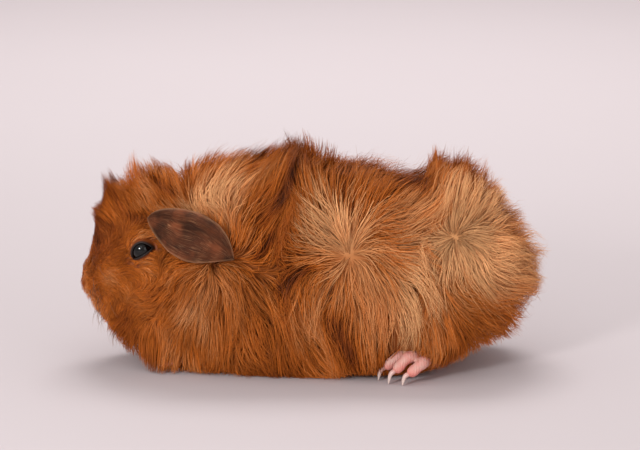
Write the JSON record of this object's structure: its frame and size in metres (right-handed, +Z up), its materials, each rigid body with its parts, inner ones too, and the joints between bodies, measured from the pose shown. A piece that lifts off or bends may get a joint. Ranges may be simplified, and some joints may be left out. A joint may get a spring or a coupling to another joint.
{
  "type": "guinea pig",
  "caption": "Life-size still model of a red Abyssinian guinea pig lying stretched on its belly, with rosettes and crests in its rough coat and leaf-shaped hanging ears.",
  "frame": {"origin": "on the floor, under the centre of the model's bounding box", "axes": "+X from the nose to the rump, +Y to the animal's right side, +Z up"},
  "size_m": [0.22, 0.101, 0.1077],
  "materials": {
    "coat": "long straight red-brown hair in rosettes and crests, soft sheen",
    "ear_skin": "thin bare dark brown skin with fine short hairs",
    "foot_skin": "bare greyish pink skin with fine creases",
    "claw_horn": "pale half-clear horn",
    "eye": "wet glossy near-black"
  },
  "bodies": {
    "root": {"head": "coat", "neck": "coat", "trunk": "coat", "ear_left": "ear_skin", "eye_left": "eye", "hind_leg_left": "coat", "hind_foot_left": "foot_skin", "hind_claw_left_1": "claw_horn", "hind_claw_left_2": "claw_horn", "hind_claw_left_3": "claw_horn", "fore_leg_left": "coat", "fore_foot_left": "foot_skin", "fore_claw_left_1": "claw_horn", "fore_claw_left_2": "claw_horn", "fore_claw_left_3": "claw_horn", "fore_claw_left_4": "claw_horn", "ear_right": "ear_skin", "eye_right": "eye", "hind_leg_right": "coat", "hind_foot_right": "foot_skin", "hind_claw_right_1": "claw_horn", "hind_claw_right_2": "claw_horn", "hind_claw_right_3": "claw_horn", "fore_leg_right": "coat", "fore_foot_right": "foot_skin", "fore_claw_right_1": "claw_horn", "fore_claw_right_2": "claw_horn", "fore_claw_right_3": "claw_horn", "fore_claw_right_4": "claw_horn"}
  },
  "joints": []
}
